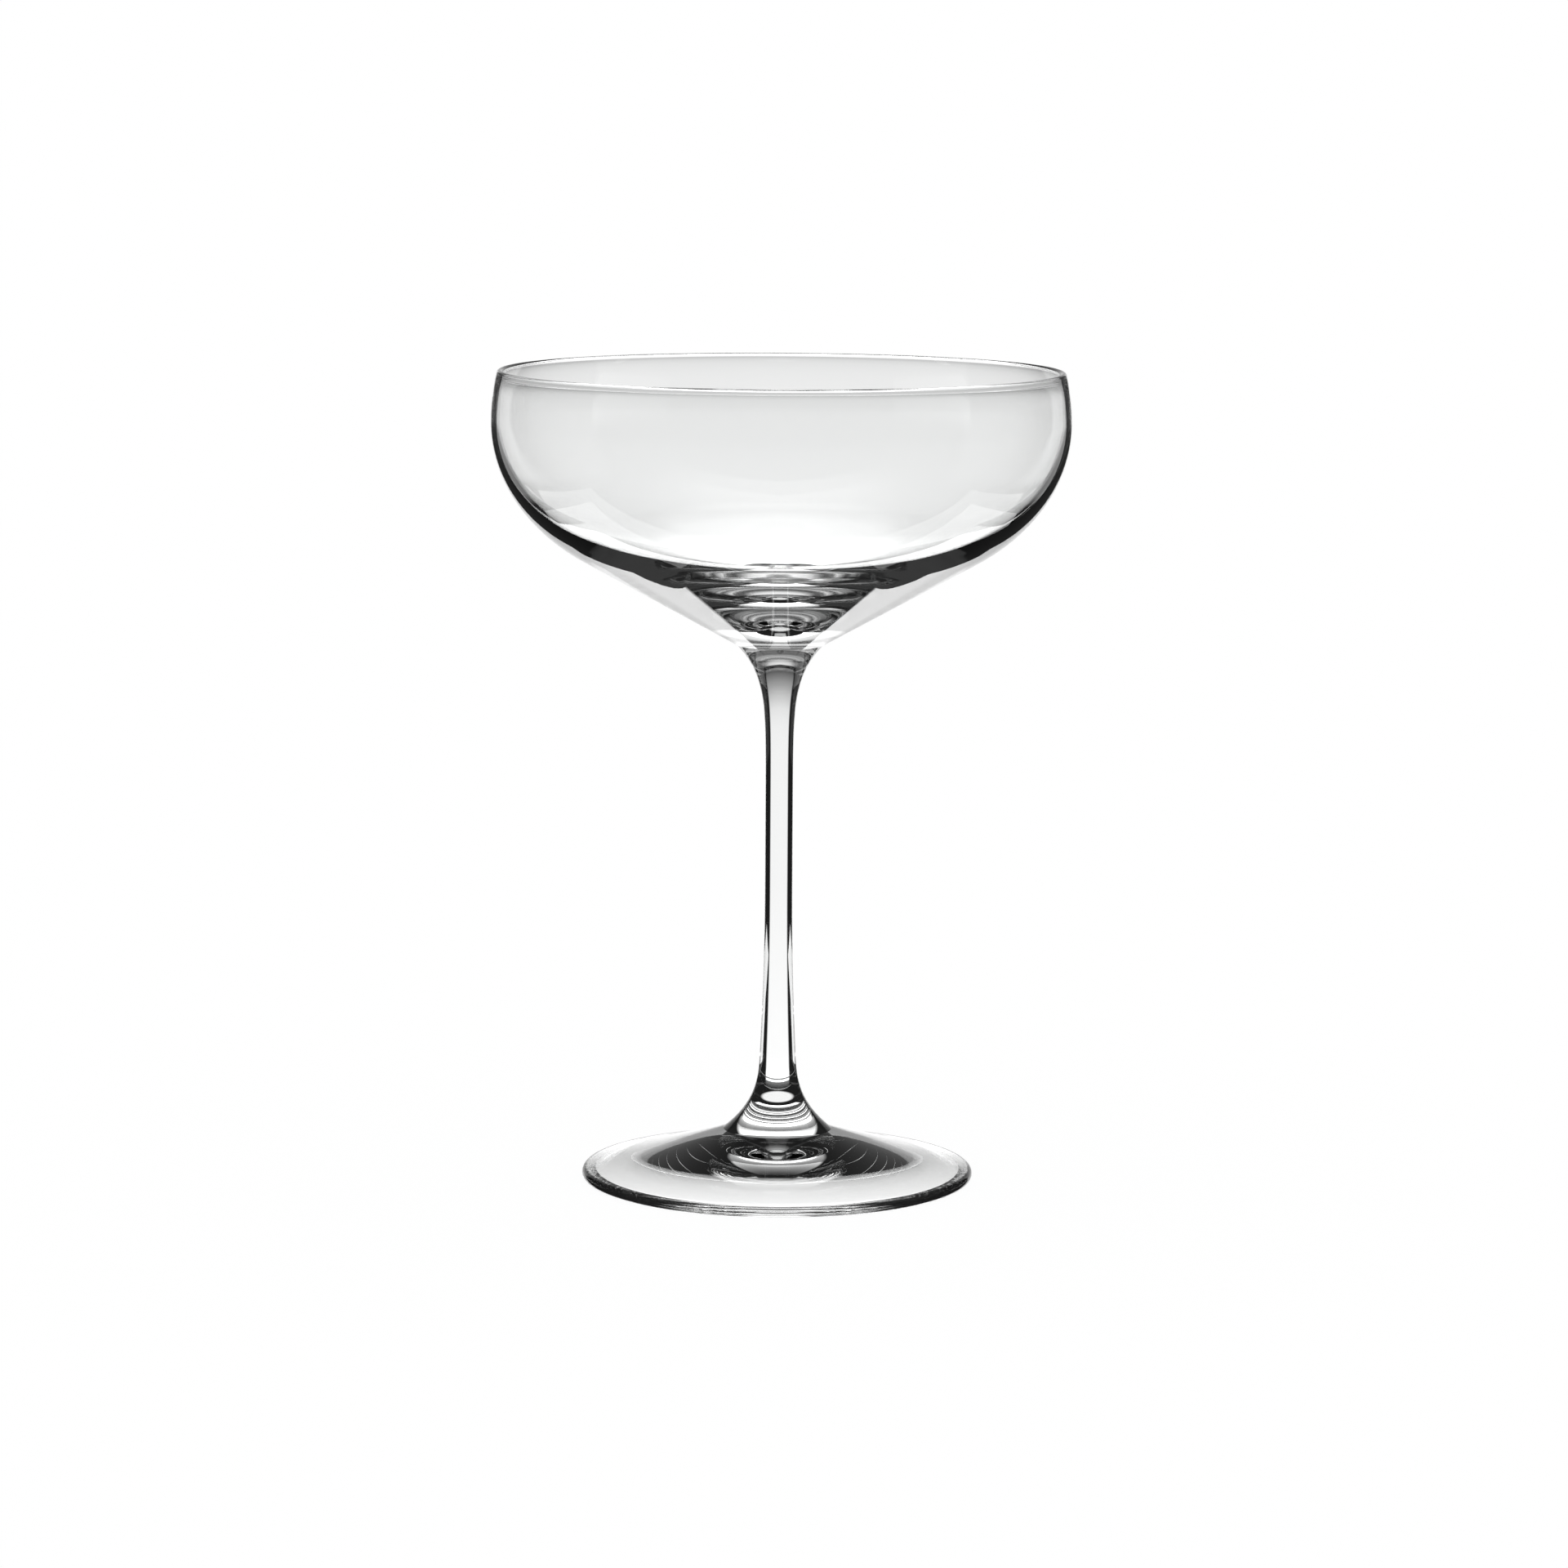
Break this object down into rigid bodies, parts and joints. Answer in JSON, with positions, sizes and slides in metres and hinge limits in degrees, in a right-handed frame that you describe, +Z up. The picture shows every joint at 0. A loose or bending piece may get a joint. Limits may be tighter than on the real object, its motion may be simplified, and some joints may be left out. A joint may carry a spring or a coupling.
{
  "type": "coupe glass",
  "caption": "Clear stemmed coupe: a wide, shallow bowl with a slightly drawn-in rim and a thick conical floor, on a slim flared stem and a round foot, for sparkling wine and cocktails.",
  "frame": {"origin": "on the axis of the glass, in the plane of the ring that it rests on", "axes": "+Z up along the axis of the stem; the glass is round, so X and Y are free"},
  "size_m": [0.1132, 0.1132, 0.16],
  "materials": {
    "clear_glass": "clear, colourless, fire-polished and smooth, with faint wear on the resting ring"
  },
  "bodies": {
    "root": {"bowl": "clear_glass", "stem": "clear_glass", "foot": "clear_glass"}
  },
  "joints": []
}
